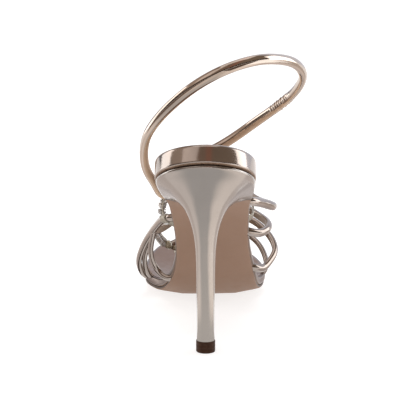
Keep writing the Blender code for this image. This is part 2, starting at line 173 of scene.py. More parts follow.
def outline(start=0.0):
    """Pairs of edge and core: the core is the line that the outline shrinks toward."""
    seat = [SEAT_RADIUS * (1.0 - math.cos(math.radians(turn))) for turn in range(0, 90, 5)]
    toe_turns = list(range(0, 85, 5)) + [84, 87, 89, 90]
    toe = [TOE_FROM + (TOE_TIP - TOE_FROM) * math.sin(math.radians(turn)) for turn in toe_turns]
    line = seat + list(np.arange(SEAT_RADIUS, TOE_FROM - 1.0, OUTLINE_STEP)) + toe
    line = [start] + [at for at in line if at > start]
    walk = [(at, 1) for at in line] + [(at, -1) for at in reversed(line[1:-1])]
    if start > 0.0:
        walk.append((start, -1))
    pairs = []
    for at, side in walk:
        core = min(max(at, max(SEAT_RADIUS, start + CORE_MARGIN)), CORE_END)
        middle = 0.5 * (sole_edge(core, 1) + sole_edge(core, -1))
        pairs.append(((sole_edge(at, side), at), (middle, core)))
    return pairs


def layer_rings(pairs, profile):
    """Rings round a sole layer, from rows of inset, share of the footbed's wall and rise above that share.

    An inset is in millimetres, or a share of the way in if it is a string.
    """
    rings = []
    for inset, share, rise in profile:
        ring = []
        for (across, along), (middle, core) in pairs:
            toward = np.array((middle - across, core - along))
            reach = np.linalg.norm(toward)
            step = float(inset) * reach if isinstance(inset, str) else inset
            spot = np.array((across, along)) + toward / max(reach, 1e-6) * step
            ring.append(sole_point(spot[0], spot[1], share * read(SOLE, WALL, along) + rise))
        rings.append(to_model(ring))
    return rings


BALL_AT = 157.0
ball_width = sole_edge(BALL_AT, 1) - sole_edge(BALL_AT, -1)
print("outline points:", len(outline()), "ball width:", round(ball_width, 1), "mm")

# %% [markdown]
# ## Sweeping by extrusion
# Most of a shoe is a section carried along a line. By hand one adds a circle, shapes it, extrudes it a
# little way and shapes the new ring, over and over. The helper does exactly that: the ring that was just
# extruded is the one that is selected, and each of its vertices remembers which spot of the ring it is.


# %% The sweep helper
def full_turn(count):
    """Angles once round a circle."""
    return [2.0 * math.pi * spot / count for spot in range(count)]


def alone(piece):
    bpy.ops.object.select_all(action="DESELECT")
    piece.select_set(True)
    bpy.context.view_layer.objects.active = piece


def sweep(name, rings, caps=True):
    bpy.ops.object.select_all(action="DESELECT")
    count = len(rings[0])
    bpy.ops.mesh.primitive_circle_add(vertices=count, radius=0.01, fill_type="NOTHING")
    piece = bpy.context.object
    piece.name = piece.data.name = name
    bpy.ops.object.mode_set(mode="EDIT")
    bm = bmesh.from_edit_mesh(piece.data)
    spot, station = bm.verts.layers.int.new("spot"), bm.verts.layers.int.new("station")
    bm.verts.ensure_lookup_table()
    for number, vert in enumerate(bm.verts):
        vert[spot] = number
    for number, ring in enumerate(rings):
        if number:
            bpy.ops.mesh.extrude_region_move()
        bm = bmesh.from_edit_mesh(piece.data)
        spot, station = bm.verts.layers.int["spot"], bm.verts.layers.int["station"]
        bm.verts.ensure_lookup_table()
        for vert in bm.verts[len(bm.verts) - count:]:
            vert.co = ring[vert[spot]]
            vert[station] = number
    if caps:
        for end in (0, len(rings) - 1):
            bpy.ops.mesh.select_all(action="DESELECT")
            bm = bmesh.from_edit_mesh(piece.data)
            station = bm.verts.layers.int["station"]
            for vert in bm.verts:
                vert.select = vert[station] == end
            bm.select_flush(True)
            bmesh.update_edit_mesh(piece.data)
            bpy.ops.mesh.edge_face_add()
    bpy.ops.mesh.select_all(action="SELECT")
    bpy.ops.mesh.remove_doubles(threshold=1e-6)
    bpy.ops.mesh.normals_make_consistent(inside=False)
    bpy.ops.object.mode_set(mode="OBJECT")
    piece.location = (0.0, 0.0, 0.0)
    alone(piece)
    bpy.ops.object.shade_smooth()
    return piece


# %% Handing a finished piece to the frame
def dress(piece, materials, slot, *nodes):
    """Give a finished piece any materials it still lacks and its body, and hide the nodes it stands for. The
    slot is not used.
    """
    alone(piece)
    bpy.ops.object.transform_apply(location=True, rotation=True, scale=True)
    for material in materials:
        piece.data.materials.append(material)
    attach(piece, "root")
    if nodes:
        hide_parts(*nodes)
    print(piece.name, "has", len(piece.data.polygons), "faces")


# %% [markdown]
# ## Champagne leather
# The leather carries a metal foil. It mirrors the studio, but a mirror alone looks like chrome: the hide
# under the foil gives a fine grain, a slow waviness that bends every reflection, and a gloss that is a
# little uneven. Noise on Object coordinates makes all three, so the grain has one scale on every piece.


# %% Material helper
def start_material(name):
    material = bpy.data.materials.new(name)
    material.use_nodes = True
    tree = material.node_tree
    return material, tree, tree.nodes["Principled BSDF"]


def add_noise(tree, scale, detail):
    noise = tree.nodes.new("ShaderNodeTexNoise")
    noise.inputs["Scale"].default_value = scale
    noise.inputs["Detail"].default_value = detail
    tree.links.new(tree.nodes.new("ShaderNodeTexCoord").outputs["Object"], noise.inputs["Vector"])
    return noise.outputs["Fac"]


def object_place(tree):
    """The three Object coordinates, by the names X, Y and Z."""
    place = tree.nodes.new("ShaderNodeSeparateXYZ")
    tree.links.new(tree.nodes.new("ShaderNodeTexCoord").outputs["Object"], place.inputs["Vector"])
    return place.outputs


def spread(tree, factor, low, high, start=0.3, finish=0.7):
    """Map a factor to a number between low and high."""
    ramp = tree.nodes.new("ShaderNodeMapRange")
    for name, value in zip(("From Min", "From Max", "To Min", "To Max"), (start, finish, low, high)):
        ramp.inputs[name].default_value = value
    tree.links.new(factor, ramp.inputs["Value"])
    return ramp.outputs["Result"]


def blend_colours(tree, factor, first, second):
    mix = tree.nodes.new("ShaderNodeMix")
    mix.data_type = "RGBA"
    tree.links.new(factor, mix.inputs["Factor"])
    for socket, colour in ((6, first), (7, second)):
        if isinstance(colour, tuple):
            mix.inputs[socket].default_value = (*colour, 1.0)
        else:
            tree.links.new(colour, mix.inputs[socket])
    return mix.outputs[2]


def fade_colours(tree, value, start, finish, first, second):
    """Go from the first colour to the second while a value goes from start to finish."""
    return blend_colours(tree, spread(tree, value, 0.0, 1.0, start, finish), first, second)


def add_bump(tree, height, distance, below=None):
    bump = tree.nodes.new("ShaderNodeBump")
    bump.inputs["Strength"].default_value = 1.0
    bump.inputs["Distance"].default_value = distance
    tree.links.new(height, bump.inputs["Height"])
    if below is not None:
        tree.links.new(below, bump.inputs["Normal"])
    return bump.outputs["Normal"]


# %% Foil leather
FOIL_SLOT = "champagne_leather"


def foil_leather(name, dark, light, gloss, wave, grain, metallic=1.0):
    """Leather under foil: two tints, a range of roughness, and the depth of its waviness and grain."""
    material, tree, shader = start_material(name)
    cloud = add_noise(tree, 55.0, 3.0)
    tint = blend_colours(tree, spread(tree, cloud, 0.0, 1.0), dark, light)
    tree.links.new(tint, shader.inputs["Base Color"])
    shader.inputs["Metallic"].default_value = metallic
    tree.links.new(spread(tree, add_noise(tree, 240.0, 4.0), *gloss), shader.inputs["Roughness"])
    slow = add_bump(tree, add_noise(tree, 85.0, 1.0), wave)
    fine = add_bump(tree, add_noise(tree, 2600.0, 2.0), grain, slow)
    tree.links.new(fine, shader.inputs["Normal"])
    return material


# The vamp straps' foil is a darker copy of the champagne foil: painted shade for straps that sit low over the
# floor. Their lining is a darker copy of the golden lining: painted shade for the inside of the vamp straps.
LEATHERS = {
    "champagne_foil": ((0.47, 0.40, 0.345), (0.54, 0.465, 0.405), (0.07, 0.12), 9e-5, 3e-6),
    "vamp_foil_shaded": ((0.34, 0.295, 0.265), (0.41, 0.36, 0.325), (0.08, 0.14), 1e-4, 3e-6),
    "seat_foil": ((0.37, 0.32, 0.288), (0.43, 0.378, 0.342), (0.12, 0.19), 9e-5, 3e-6),
    "heel_foil": ((0.37, 0.342, 0.32), (0.40, 0.372, 0.35), (0.14, 0.19), 4e-5, 2e-6),
    "mauve_sock": ((0.215, 0.138, 0.10), (0.255, 0.17, 0.128), (0.30, 0.42), 6e-5, 8e-6, 0.7),
    "golden_lining": ((0.50, 0.34, 0.22), (0.60, 0.43, 0.30), (0.30, 0.42), 6e-5, 6e-6, 0.1),
    "lining_shaded": ((0.25, 0.175, 0.12), (0.33, 0.24, 0.17), (0.30, 0.42), 6e-5, 6e-6, 0.1),
    "wound_leather": ((0.28, 0.25, 0.20), (0.38, 0.345, 0.285), (0.28, 0.38), 6e-5, 4e-6, 0.6),
}
leather = {name: foil_leather(name, *look) for name, look in LEATHERS.items()}
print("leathers:", list(leather))


# %% Leather that changes along the shoe
def change_along(material, axis, start, finish, tint, rougher):
    """Blend a leather to another tint and roughness between two places on one axis of the shoe."""
    tree = material.node_tree
    shader = tree.nodes["Principled BSDF"]
    place = object_place(tree)[axis]
    colour, gloss = (shader.inputs[name].links[0].from_socket for name in ("Base Color", "Roughness"))
    tree.links.new(fade_colours(tree, place, start, finish, colour, tint), shader.inputs["Base Color"])
    more = tree.nodes.new("ShaderNodeMath")
    tree.links.new(gloss, more.inputs[0])
    tree.links.new(spread(tree, place, 0.0, rougher, start, finish), more.inputs[1])
    tree.links.new(more.outputs["Value"], shader.inputs["Roughness"])


# The wrap is rougher and darker toward the toe: the roughness is the leather's, the darker tint is painted
# shade on the forefoot wall. The heel's tint is painted paler toward its tip, a painted highlight low on the
# stem.
change_along(leather["seat_foil"], "Y", BACK_Y + 0.05, BACK_Y + 0.10, (0.265, 0.22, 0.20), 0.20)
change_along(leather["heel_foil"], "Z", 0.085, 0.02, (0.50, 0.462, 0.425), 0.0)

# %% [markdown]
# ## Underside, dark edge and plastic
# Three plain finishes sit beside the foil: the dull dark brown of the footbed's underside in the groove, a
# dark edge colour that is painted shadow in the gaps along the outsole's and the heel's edges, and the dark
# plastic of the top piece. Each has two mottled tints and a fine grain, so one helper makes all three.


# %% Plain materials
def plain_material(name, mottle, dark, light, gloss_scale, gloss, grain_scale, grain):
    """Underside, dark edge or plastic: two mottled tints, a range of roughness and a fine grain."""
    material, tree, shader = start_material(name)
    tint = blend_colours(tree, spread(tree, add_noise(tree, mottle, 3.0), 0.0, 1.0), dark, light)
    tree.links.new(tint, shader.inputs["Base Color"])
    tree.links.new(spread(tree, add_noise(tree, gloss_scale, 2.0), *gloss), shader.inputs["Roughness"])
    tree.links.new(add_bump(tree, add_noise(tree, grain_scale, 2.0), grain), shader.inputs["Normal"])
    return material


dark_underside = plain_material(
    "underside_brown", 500.0, (0.19, 0.115, 0.072), (0.26, 0.165, 0.108), 300.0, (0.55, 0.7), 1800.0, 8e-6)
# The dark edge colour is painted shadow: it darkens the gaps at the outsole's side edges and the heel's
# breast.
edge_shade = plain_material(
    "painted_edge_shade", 600.0, (0.075, 0.048, 0.034), (0.115, 0.075, 0.054), 300.0, (0.38, 0.5), 2000.0, 4e-6)
plastic = plain_material(
    "top_piece_brown", 700.0, (0.045, 0.018, 0.009), (0.068, 0.031, 0.018), 400.0, (0.35, 0.5), 3000.0, 5e-6)
plastic.node_tree.nodes["Principled BSDF"].inputs["Specular IOR Level"].default_value = 0.14
print("plain materials:", [material.name for material in (dark_underside, edge_shade, plastic)])

# %% [markdown]
# ## Footbed
# The stiff insole board is wrapped: leather comes up the wall, turns over the upper edge and tucks under a
# rounder lower edge that catches the floor's light. The underside is a dull dark brown, which shows in the
# groove above the heel. It could be a slab with a Bevel, but a bevel has one radius all round. Rings that
# climb the wall give each edge its own roundness.


# %% Painting some rings of a sweep with a second material
def paint_rings(piece, materials, painted, columns=None):
    """Give the second material to the faces between some rings, or to a few columns of them."""
    for material in materials:
        piece.data.materials.append(material)
    stations, spots = (piece.data.attributes[name].data for name in ("station", "spot"))
    for face in piece.data.polygons:
        inside = all(stations[vert].value in painted for vert in face.vertices)
        if inside and (columns is None or all(spots[vert].value in columns for vert in face.vertices)):
            face.material_index = 1


# %% Wrapped footbed
round_walk = outline()
UNDERSIDE_RINGS = range(0, 6)
footbed_profile = (
    ("1.0", 0.0, 0.0), ("0.5", 0.0, 0.0), (3.0, 0.0, 0.0), (1.5, 0.0, 0.02), (0.9, 0.0, 0.12),
    (0.42, 0.0, 0.34), (0.12, 0.0, 0.68), (0.02, 0.0, 1.05), (0.0, 0.0, 1.35), (0.0, 0.5, 0.0),
    (0.0, 1.0, -2.0), (0.03, 1.0, -1.6), (0.2, 1.0, -0.95), (0.55, 1.0, -0.42), (1.05, 1.0, -0.12),
    (1.7, 1.0, 0.0), (3.0, 1.0, -0.1), ("0.5", 1.0, -0.2), ("1.0", 1.0, -0.2),
)
footbed = sweep("wrapped_footbed", layer_rings(round_walk, footbed_profile), False)
# The underside rings are given a dull dark brown, which shows in the groove above the heel.
paint_rings(footbed, [leather["seat_foil"], dark_underside], UNDERSIDE_RINGS)
dress(footbed, [], FOIL_SLOT, "footbed")

# %% [markdown]
# ## Sock
# The mauve sock is the leather the foot stands on, glued flat to the board. It stops just short of the
# rolled edge, and its own edge is skived thin. It is made like the footbed, from rings that close over.

# %% Leather sock
sock_profile = (
    ("1.0", 1.0, -0.1), (3.4, 1.0, -0.1), (2.2, 1.0, -0.05), (2.0, 1.0, 0.12), (2.15, 1.0, 0.32),
    (2.7, 1.0, 0.45), (5.0, 1.0, 0.55), ("0.5", 1.0, 0.7), ("1.0", 1.0, 0.75),
)
sock = sweep("leather_sock", layer_rings(round_walk, sock_profile), False)
dress(sock, [leather["mauve_sock"]], "sock_leather")

# %% [markdown]
# ## Outsole
# A thin tan sheet under the footbed, from the heel's breast to the toe. Its face is smooth and barely
# glossy, with a faint drift of colour from the hide. Its side edges are painted dark, a painted shadow of the
# gap under the footbed's wall. The same walk round the outline makes it, but cut straight across behind the
# breast.

# %% Tan leather and the outsole
def tan_leather():
    material, tree, shader = start_material("outsole_tan")
    drift = spread(tree, add_noise(tree, 28.0, 4.0), 0.0, 1.0)
    fibres = spread(tree, add_noise(tree, 900.0, 3.0), 0.0, 0.35)
    tint = blend_colours(tree, drift, (0.252, 0.147, 0.093), (0.28, 0.167, 0.108))
    tint = blend_colours(tree, fibres, tint, (0.24, 0.145, 0.098))
    tree.links.new(tint, shader.inputs["Base Color"])
    tree.links.new(spread(tree, add_noise(tree, 160.0, 3.0), 0.42, 0.55), shader.inputs["Roughness"])
    tree.links.new(add_bump(tree, add_noise(tree, 1500.0, 3.0), 6e-6), shader.inputs["Normal"])
    shader.inputs["Specular IOR Level"].default_value = 0.35
    return material


# Rings of the outsole's side edge that are painted dark: a painted shadow of the gap under the footbed's
# wall.
EDGE_SHADE_RINGS = range(5, 10)
OUTSOLE_FROM, OUTSOLE_INSET, OUTSOLE_LOW, OUTSOLE_HIGH = 54.0, 0.8, -2.05, -0.1
outsole_profile = (
    ("1.0", 0.0, OUTSOLE_LOW), ("0.5", 0.0, OUTSOLE_LOW), (4.0, 0.0, OUTSOLE_LOW), (1.5, 0.0, OUTSOLE_LOW),
    (1.05, 0.0, OUTSOLE_LOW + 0.12), (OUTSOLE_INSET, 0.0, OUTSOLE_LOW + 0.5),
    (OUTSOLE_INSET, 0.0, OUTSOLE_HIGH - 0.3), (1.0, 0.0, OUTSOLE_HIGH - 0.05), (1.4, 0.0, OUTSOLE_HIGH),
    ("0.5", 0.0, OUTSOLE_HIGH), ("1.0", 0.0, OUTSOLE_HIGH),
)
outsole = sweep("tan_outsole", layer_rings(outline(OUTSOLE_FROM), outsole_profile), False)
paint_rings(outsole, [tan_leather(), edge_shade], EDGE_SHADE_RINGS)
dress(outsole, [], "outsole_leather", "outsole")

# %% [markdown]
# ## Heel
# The heel is a plastic block with leather pulled over it: a round stem that opens upward into the half
# round of the seat, cut off flat at the breast. Each ring mixes an oval with the seat's outline, and the
# rings rise from level at the stem to the slope of the seat at the top. The leather turns in over a small
# round shoulder under the footbed, which leaves the dark groove between the two. The edges of the breast
# are painted dark, a painted shadow of the gap where the heel meets the outsole.

# %% Heel rings
SHARE, BACK, BREAST, HALF, SQUARE = range(5)
HEEL = (
    (0.00, 12.0, 22.0, 4.9, 0.00), (0.06, 12.2, 21.6, 4.65, 0.00), (0.18, 12.2, 21.7, 4.75, 0.00),
    (0.30, 12.0, 22.0, 4.95, 0.00), (0.42, 11.6, 22.3, 5.05, 0.00), (0.54, 11.0, 22.8, 5.3, 0.05),
    (0.61, 10.4, 23.4, 5.8, 0.08), (0.67, 9.8, 24.0, 6.6, 0.15), (0.72, 9.1, 25.0, 7.7, 0.24),
    (0.76, 8.4, 26.2, 8.9, 0.34), (0.80, 7.7, 28.0, 10.3, 0.45), (0.84, 6.9, 30.8, 12.2, 0.56),
    (0.88, 5.9, 34.4, 14.9, 0.68), (0.92, 4.8, 38.8, 18.0, 0.80), (0.96, 3.4, 45.0, 21.9, 0.92),
    (1.00, 1.1, 52.0, 25.9, 1.00),
)
HEEL_INSET, HEEL_CORNER, HEEL_POINTS, TOP_PIECE_HEIGHT = 1.1, 0.78, 40, 6.5
SHOULDER = (
    (0.966, 0.0), (0.970, -0.24), (0.974, -0.42), (0.978, -0.52), (0.982, -0.52), (0.986, -0.38),
    (0.9895, -0.08), (0.9925, 0.4), (0.995, 1.0), (0.997, 1.7), (0.9985, 2.5),
)
SIDE_CLOSING, SEAT_CLEARANCE = 0.75, 0.12
# Rings and columns at the breast's edges that are painted dark: a painted shadow of the gap at the outsole.
BREAST_SHADE_RINGS, BREAST_SHADE_COLUMNS = range(40, 90), (*range(26, 32), *range(47, 53))


def seat_half_width(along, side):
    if along < SEAT_RADIUS:
        reach = SEAT_RADIUS - HEEL_INSET
        depth = max(along - HEEL_INSET, 0.0)
        share = math.sqrt(max(depth * (2.0 * reach - depth), 0.0)) / reach
        return (abs(read(SOLE, LATERAL if side > 0 else MEDIAL, along)) - HEEL_INSET) * share
    return abs(sole_edge(along, side)) - HEEL_INSET


def seat_outline(side):
    """One side of the seat from the back to the middle of the breast, as shares of half width and length."""
    top = HEEL[-1]
    rows = []
    for turn in np.linspace(0.0, 1.0, HEEL_POINTS):
        corner = min(turn / HEEL_CORNER, 1.0)
        forward = 0.5 - 0.5 * math.cos(math.pi * corner)
        wide = seat_half_width(top[BACK] + forward * (top[BREAST] - top[BACK]), side) / top[HALF]
        rows.append((wide * min((1.0 - turn) / (1.0 - HEEL_CORNER), 1.0), forward))
    return rows


def heel_ring(share, outlines, inset=0.0, closing=0.0):
    """One ring at a share of the heel's height; a shoulder ring is drawn in, and lifted toward the sides."""
    widened = min(share / SHOULDER[0][0], 1.0)
    back, breast, half, square = (read(HEEL, column, widened) for column in (BACK, BREAST, HALF, SQUARE))
    back, breast, half = back + inset, breast - inset, half - inset
    ring = []
    for side in (1, -1):
        half_ring = []
        for spot, (wide, forward) in enumerate(outlines[side]):
            turn = math.pi * spot / (HEEL_POINTS - 1)
            across = side * half * (square * wide + (1.0 - square) * math.sin(turn))
            rounded = 0.5 - 0.5 * math.cos(turn)
            along = back + (breast - back) * (square * forward + (1.0 - square) * rounded)
            top = read(SOLE, SEAM, along) - SEAT_CLEARANCE
            lifted = share + (1.0 - share) * closing * min(abs(across) / half, 1.0) ** 2
            half_ring.append((across, along, TOP_PIECE_HEIGHT + (top - TOP_PIECE_HEIGHT) * lifted))
        ring += half_ring[:-1] if side > 0 else half_ring[:0:-1]
    return to_model(ring)


# %% Covered heel
outlines = {side: seat_outline(side) for side in (1, -1)}
SHARP_TURN, STEM_TOP, STEM_RINGS, FLARE_RINGS = 50, 0.5, 18, 46
shares = list(np.linspace(0.0, STEM_TOP, STEM_RINGS))
shares += list(np.linspace(STEM_TOP, SHOULDER[0][0], FLARE_RINGS))[1:]
heel_rings = [heel_ring(share, outlines) for share in shares]
for number, (share, inset) in enumerate(SHOULDER[1:], 1):
    heel_rings.append(heel_ring(share, outlines, inset, SIDE_CLOSING * number / len(SHOULDER)))
heel = sweep("covered_heel", heel_rings)
bpy.ops.object.shade_smooth_by_angle(angle=math.radians(SHARP_TURN))
# The breast's edges get the dark edge colour, a painted shadow of the gap where the heel meets the outsole.
paint_rings(heel, [leather["heel_foil"], edge_shade], BREAST_SHADE_RINGS, BREAST_SHADE_COLUMNS)
dress(heel, [], FOIL_SLOT, "heel")

# %% [markdown]
# ## Top piece
# The wear piece under the stem is a short plug of dark brown plastic, pressed in a little proud of the
# leather, with the faint turning lines left by the mould. Rings of slightly different radius make it.

# %% Dark plug
PLUG_SIDES, PLUG_ALONG, PLUG_SHARP_TURN = 64, 17.0, 40
plug_profile = (
    (3.0, 0.0), (4.7, 0.0), (5.05, 0.12), (5.2, 0.45), (5.2, 2.0), (5.12, 2.15), (5.12, 2.3), (5.2, 2.45),
    (5.2, 4.1), (5.12, 4.25), (5.12, 4.4), (5.2, 4.55), (5.2, 6.1), (5.1, 6.4), (4.8, 6.5), (3.0, 6.5),
)
plug_rings = [
    to_model([
        (radius * math.sin(turn), PLUG_ALONG - radius * math.cos(turn), height)
        for turn in full_turn(PLUG_SIDES)])
    for radius, height in plug_profile
]
plug = sweep("top_piece_plug", plug_rings)
bpy.ops.object.shade_smooth_by_angle(angle=math.radians(PLUG_SHARP_TURN))
dress(plug, [plastic], "top_piece_plastic", "top_piece")

# %% [markdown]
# ## Straps
# Each strap is a rolled leather band: domed and foiled outside, flat and lined inside. Its flat face
# lies on the foot, so every ring of the sweep faces away from an axis inside the foot. The rows below
# are the middle lines; a smooth cubic runs through them. Straps that cross are sewn to each other there.

# %% Middle lines of the straps
STRAPS = {
    "medial_rail": (4.6, 3.4, (
        (-12, 80, 62.6), (-21, 80.6, 61), (-24.6, 87, 59.4), (-28.2, 96, 55.2), (-33, 109, 47.1),
        (-37.2, 119, 39.1), (-40.2, 127, 31.6), (-42.3, 136, 22.6), (-41.2, 144, 14.4), (-38.2, 149, 9.8),
        (-30, 151, 7.4))),
    "instep_strap": (5.4, 3.8, (
        (17, 63.6, 75.2), (25.8, 64.5, 73.6), (32.3, 72, 71.5), (39.6, 84, 67.4), (38, 93, 66.8),
        (31.6, 100, 68), (26, 104.4, 71.4), (19.6, 107, 80.4), (9, 108, 89.4), (-4, 106.4, 92),
        (-12.8, 101.6, 86.4), (-17, 94.6, 77.8), (-17.6, 87.6, 70.2), (-15.6, 82.8, 65.4),
        (-9, 80.2, 62.6))),
    "waist_strap": (5.2, 3.4, (
        (16, 88.4, 54), (25.8, 88.8, 51), (32.5, 93, 49.4), (38, 101.5, 51.5), (35.6, 112, 54.2),
        (28.4, 123.5, 57.2), (18, 129, 63.2), (4, 131, 67), (-8, 129.4, 63), (-16.4, 126, 55.4),
        (-21.5, 122.6, 50.6), (-25.6, 118, 48.6), (-29, 113.4, 47.8), (-32.4, 107.4, 48.4))),
    "ball_strap": (5.0, 3.6, (
        (20, 113.4, 25), (30, 112.6, 23.6), (34.8, 117, 22.2), (39.8, 124, 25.3), (43.2, 131, 30.4),
        (42, 137, 35.6), (38.2, 142, 40.4), (29.6, 147.6, 46.6), (19, 151.4, 49), (6, 153.6, 46.8),
        (-7, 154, 40), (-16.5, 152.6, 33.2), (-23, 151, 30))),
    "toe_strap": (4.8, 3.2, (
        (29, 150.4, 7.6), (36, 151.4, 10.4), (38.8, 153.6, 15), (38.5, 158, 20), (36.2, 162, 25),
        (31.9, 166, 29.8), (21, 170, 34.6), (8, 172.6, 35), (-5, 173.6, 30.4), (-13, 173.6, 24.4),
        (-17.6, 172.6, 21))),
    "medial_rail_inner": (3.8, 3.2, (
        (-30.4, 103, 51.2), (-33, 113, 44.4), (-35.4, 121, 37.6), (-37.7, 128, 30.2), (-38.6, 135, 22.1),
        (-37.4, 141, 14.8), (-34.6, 145, 10.2), (-26, 147, 7))),
    "medial_stay": (4.8, 3.4, (
        (-32, 106.6, 48.6), (-33.4, 115, 40.6), (-34.3, 121, 33), (-33, 124, 25), (-29.6, 124, 18.8),
        (-24, 120.8, 15.2), (-13, 117.6, 20.2))),
    "instep_crystal_band": (8.0, 2.8, (
        (16, 82.4, 60.6), (25, 84.2, 60), (28, 93, 63.4), (25.6, 103.4, 72), (18.6, 111, 80), (4, 115, 85),
        (-10, 112.6, 81.6), (-20, 105.4, 74.6), (-25, 98, 68), (-25.6, 92, 61.4), (-21.6, 87.6, 57),
        (-12, 85.6, 56))),
    "toe_crystal_band": (7.2, 2.6, (
        (-32, 107.6, 48.4), (-31, 115.6, 45.6), (-28.6, 130, 38.4), (-26, 143, 32.6), (-22.4, 156, 28.2),
        (-18.6, 168, 23.6), (-14.6, 180, 16.4), (-12, 187, 7))),
    "ankle_strap": (5.8, 4.8, (
        (-15, 57.8, 79.6), (-23.9, 57, 79.6), (-28, 50.4, 86), (-32.4, 43.2, 95.4), (-33.6, 38, 105.4),
        (-31.6, 31.6, 115.2), (-26.2, 24.4, 124.4), (-14.8, 15, 136.6), (-5.6, 10, 144.1), (13.6, 8, 154.2),
        (25.2, 12, 157.2), (38, 24, 157), (48.4, 38, 153.4), (53, 49.6, 146.8), (51, 62, 138.2),
        (44.4, 74, 129.7), (27.2, 89, 114.9), (7.1, 93.4, 100.9), (-8, 88.6, 93.8), (-17, 80.5, 88),
        (-22.4, 71.6, 82), (-21.6, 66.4, 77.8), (-13.6, 65, 76.6))),
}


# %% A smooth line through rows
def smooth_line(rows, step):
    knots = np.array(rows)
    count = len(knots)
    gaps = np.linalg.norm(np.diff(knots, axis=0), axis=1)
    system, target = np.eye(count), np.zeros_like(knots)
    for row in range(1, count - 1):
        before, after = gaps[row - 1], gaps[row]
        system[row, row - 1:row + 2] = before, 2.0 * (before + after), after
        target[row] = 6.0 * ((knots[row + 1] - knots[row]) / after - (knots[row] - knots[row - 1]) / before)
    bend = np.linalg.solve(system, target)
    points = [knots[0]]
    for row, gap in enumerate(gaps):
        parts = max(int(round(gap / step)), 1)
        for far in np.linspace(0.0, 1.0, parts + 1)[1:]:
            near = 1.0 - far
            chord = near * knots[row] + far * knots[row + 1]
            bulge = (near ** 3 - near) * bend[row] + (far ** 3 - far) * bend[row + 1]
            points.append(chord + bulge * gap * gap / 6.0)
    return np.array(points)


# %% Which way a strap faces
FOOT_AXIS_LIFT, LEG_AXIS, SMOOTHINGS = 20.0, (8.0, 46.0), 6
spine_table = []
for along in np.arange(0.0, TOE_TIP, 2.0):
    height, square = spine(along)
    axis = along + FOOT_AXIS_LIFT * square[0], height + FOOT_AXIS_LIFT * square[1]
    spine_table.append((along, height, *axis))
spine_table = np.array(spine_table)


def from_foot(point):
    nearest = np.argmin(np.hypot(spine_table[:, 0] - point[1], spine_table[:, 1] - point[2]))
    return point - np.array((0.0, spine_table[nearest, 2], spine_table[nearest, 3]))


def from_leg(point):
    return point - np.array((LEG_AXIS[0], LEG_AXIS[1], point[2]))


def strap_frames(rows, outward, step):
    """Points of a middle line with the way ahead, away from the foot and beside, all of unit length."""
    points = smooth_line(rows, step)
    frames = []
    for point, ahead in zip(points, np.gradient(points, axis=0)):
        ahead = ahead / np.linalg.norm(ahead)
        away = outward(point)
        away = away - ahead * np.dot(away, ahead)
        away = away / np.linalg.norm(away)
        frames.append([point, ahead, away, np.cross(ahead, away)])
    away = np.array([f[2] for f in frames])
    for smoothing in range(SMOOTHINGS):
        away[1:-1] = (away[:-2] + 2.0 * away[1:-1] + away[2:]) / 4.0
    for item, lean in zip(frames, away):
        lean = lean - item[1] * np.dot(lean, item[1])
        item[2] = lean / np.linalg.norm(lean)
        item[3] = np.cross(item[1], item[2])
    return frames


# %% [markdown]
# ## The strap's section
# A rolled strap is wider than thick, with a full dome outside and a flat lining inside whose edges are
# turned. The section is a list of spots as shares of width and thickness; the lining's spots come last,
# so the faces between them can be given the lining leather.

# %% Section and strap maker
DOME = [(0.5 * math.cos(t), -0.22 + 0.72 * math.sin(t) ** 0.92) for t in np.linspace(0.0, math.pi, 17)]
SECTION = DOME + [(-0.475, -0.37), (-0.41, -0.465), (-0.33, -0.5), (-0.11, -0.5), (0.11, -0.5), (0.33, -0.5),
                  (0.41, -0.465), (0.475, -0.37)]
LINING_SPOTS = range(len(DOME) + 1, len(DOME) + 7)


def strap_rings(frames, width, thick, section=SECTION, swell=None):
    rings = []
    for number, (point, ahead, away, beside) in enumerate(frames):
        grow = 1.0 if swell is None else swell[number]
        ring = [point + beside * wide * width * grow + away * deep * thick * grow for wide, deep in section]
        rings.append(to_model(ring))
    return rings


def line_strap(piece, lining):
    """Give the second material to the faces between the lining's spots, which may change along the strap."""
    spots, stations = (piece.data.attributes[name].data for name in ("spot", "station"))
    last = max(item.value for item in stations)
    for face in piece.data.polygons:
        lined = lining(max(stations[vert].value for vert in face.vertices) / last)
        if len(face.vertices) == 4 and all(spots[vert].value in lined for vert in face.vertices):
            face.material_index = 1


def make_strap(name, rings, leathers, lining):
    piece = sweep(name + "_leather", rings)
    for material in leathers:
        piece.data.materials.append(material)
    line_strap(piece, lining)
    return piece


# %% Vamp straps
STRAP_STEP = 1.3
# The vamp straps wear the darker copies of foil and lining, which are painted shade.
vamp_leathers = leather["vamp_foil_shaded"], leather["lining_shaded"]
vamp_names = [name for name in STRAPS if "crystal" not in name and name != "ankle_strap"]
for name in vamp_names:
    width, thick, rows = STRAPS[name]
    rings = strap_rings(strap_frames(rows, from_foot, STRAP_STEP), width, thick)
    dress(make_strap(name, rings, vamp_leathers, lambda share: LINING_SPOTS), [], FOIL_SLOT)
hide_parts("upper_straps")

# %% [markdown]
# ## Ankle strap
# The long loop is rolled round a cord, so its section is a full round, and the golden lining shows only as
# a narrow strip low on the inside. Where it turns back on the outer side the foil has cracked into small
# cross creases. The rings of the sweep swell and shrink there by a few tenths of a millimetre.

# %% Creased loop
ROUND_SPOTS = 30
ROUND_SECTION = [(0.5 * math.cos(turn), 0.5 * math.sin(turn)) for turn in full_turn(ROUND_SPOTS)]
LINING_ROWS = (
    (0.35, 22, 32), (0.39, 22, 31), (0.43, 22, 30), (0.54, 22, 29), (0.66, 26, 29), (0.69, 25, 29),
    (0.72, 24, 29), (0.76, 23, 29), (1.00, 22, 29),
)
CREASES_AT, CREASES_REACH, CREASE_PITCH, CREASE_DEPTH = (43.6, 75.0, 129.0), 9.0, 1.9, 0.10
CREASE_STEP, SLOWER = 0.4, 1.7


